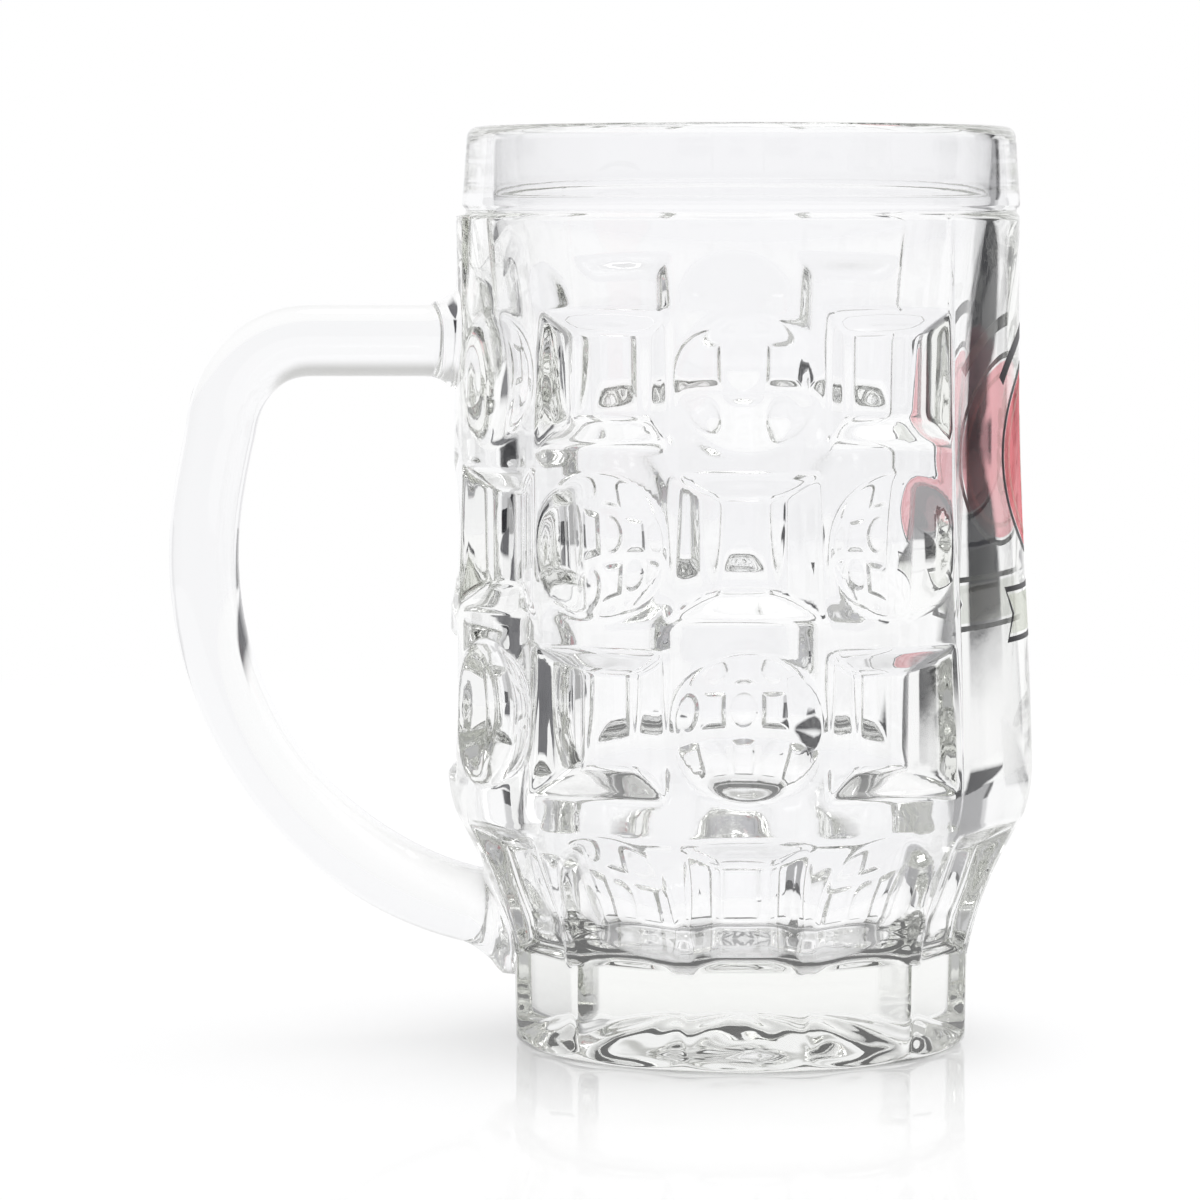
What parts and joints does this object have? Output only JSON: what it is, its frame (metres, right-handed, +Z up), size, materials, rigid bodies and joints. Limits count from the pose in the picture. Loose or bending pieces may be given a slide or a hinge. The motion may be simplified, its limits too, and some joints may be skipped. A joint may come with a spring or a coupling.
{
  "type": "beer mug",
  "caption": "Heavy clear pressed-glass beer mug with a D-shaped handle, rows of round and square cells, a fluted funnel, a faceted foot and a printed smooth panel.",
  "frame": {"origin": "middle of the overall width and depth, at the height of the surface the mug stands on", "axes": "+Z up along the mug's axis, +X towards the printed panel and away from the handle, +Y towards the back"},
  "size_m": [0.1471, 0.0998, 0.1558],
  "materials": {
    "clear_glass": "fire-polished clear soda-lime glass",
    "red_enamel": "fired red enamel",
    "cream_enamel": "fired cream enamel",
    "dark_enamel": "fired dark grey enamel"
  },
  "bodies": {
    "root": {"glass_body": "clear_glass", "handle": "clear_glass", "print_badge": "red_enamel", "print_badge_outline": "dark_enamel", "print_badge_ring": "cream_enamel", "print_grain_ear": "cream_enamel", "print_arched_band": "dark_enamel", "print_ribbon": "cream_enamel", "print_ribbon_outline": "dark_enamel"}
  },
  "joints": []
}
